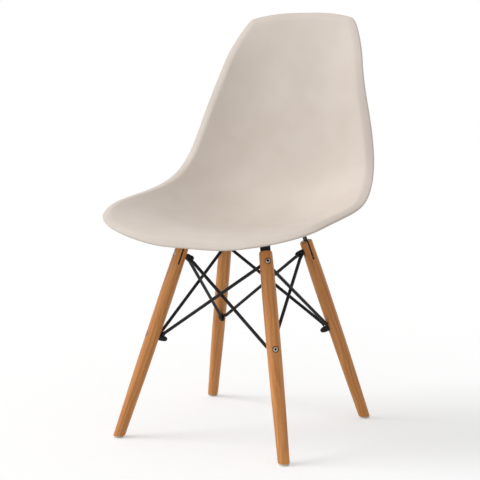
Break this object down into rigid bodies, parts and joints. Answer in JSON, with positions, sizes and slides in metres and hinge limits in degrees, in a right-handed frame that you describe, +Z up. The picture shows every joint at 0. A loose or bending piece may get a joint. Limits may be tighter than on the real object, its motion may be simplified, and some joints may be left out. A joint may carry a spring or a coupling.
{
  "type": "shell side chair",
  "caption": "Side chair with a moulded plastic seat shell on splayed turned wooden legs, tied by crossed black steel rods.",
  "frame": {"origin": "on the floor, under the middle of the bounding box", "axes": "+Z up, the sitter faces -Y, +X to the right when looking along +Y"},
  "size_m": [0.502, 0.4609, 0.82],
  "materials": {
    "shell": "fine satin grain",
    "beech": "satin oiled",
    "black_steel": "satin powder coat",
    "steel": "zinc plated",
    "brass": "plain",
    "nylon": "smooth",
    "rubber": "matte"
  },
  "bodies": {
    "root": {"seat_shell": "shell", "leg_front_left": "beech", "glide_front_left": "nylon", "bracket_front_left": "black_steel", "seat_pad_front_left": "rubber", "leg_front_right": "beech", "glide_front_right": "nylon", "bracket_front_right": "black_steel", "seat_pad_front_right": "rubber", "leg_rear_left": "beech", "glide_rear_left": "nylon", "bracket_rear_left": "black_steel", "seat_pad_rear_left": "rubber", "leg_rear_right": "beech", "glide_rear_right": "nylon", "bracket_rear_right": "black_steel", "seat_pad_rear_right": "rubber", "brace_front_outer": "black_steel", "brace_front_inner": "black_steel", "brace_left_outer": "black_steel", "brace_left_inner": "black_steel", "brace_rear_outer": "black_steel", "brace_rear_inner": "black_steel", "brace_right_outer": "black_steel", "brace_right_inner": "black_steel", "seat_inserts": "brass", "seat_washers": "steel", "seat_screws": "steel", "leg_bolts_upper": "steel", "spacers_upper": "black_steel", "dome_nuts_upper": "black_steel", "leg_bolts_lower": "steel", "spacers_lower": "black_steel", "dome_nuts_lower": "black_steel"}
  },
  "joints": []
}
